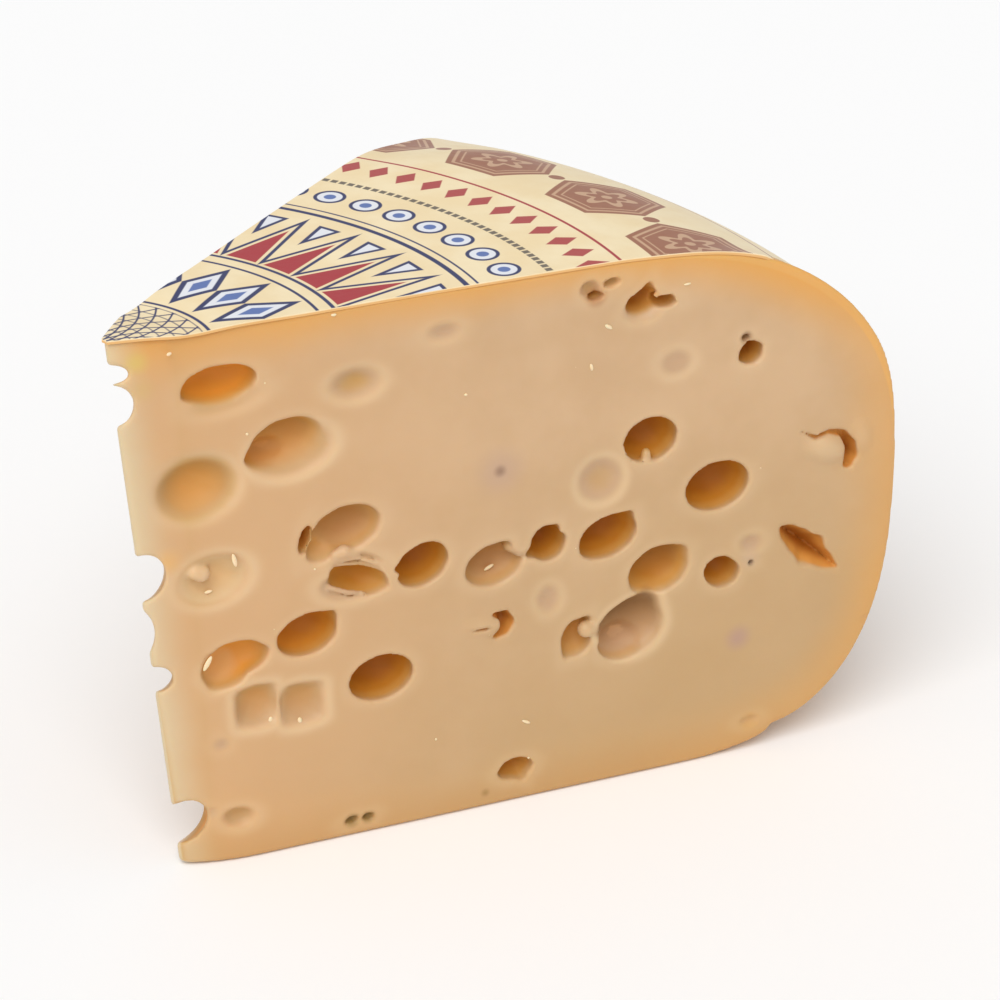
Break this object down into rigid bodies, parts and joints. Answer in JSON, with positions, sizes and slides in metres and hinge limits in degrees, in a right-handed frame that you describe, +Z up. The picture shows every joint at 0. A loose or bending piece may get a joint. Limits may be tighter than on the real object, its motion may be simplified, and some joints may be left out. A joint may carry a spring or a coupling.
{
  "type": "cheese wedge",
  "caption": "Wedge cut from a round semi-hard cheese with eyes, with a blunt notched tip, a rounded rind end and a thin printed skin over its top.",
  "frame": {"origin": "on the resting surface, under the middle of the wedge's outer box", "axes": "+Z up; +X from the tip to the rind end along the line midway between the two cuts; the front cut, with the eyes that the picture shows, faces -Y"},
  "size_m": [0.1452, 0.1034, 0.1021],
  "materials": {
    "cheese": "smooth, slightly moist yellow paste with a soft inner glow, more orange under the rind",
    "printed_skin": "satin cream film printed with plain shapes"
  },
  "bodies": {
    "root": {"cheese": "cheese", "label": "printed_skin"}
  },
  "joints": []
}
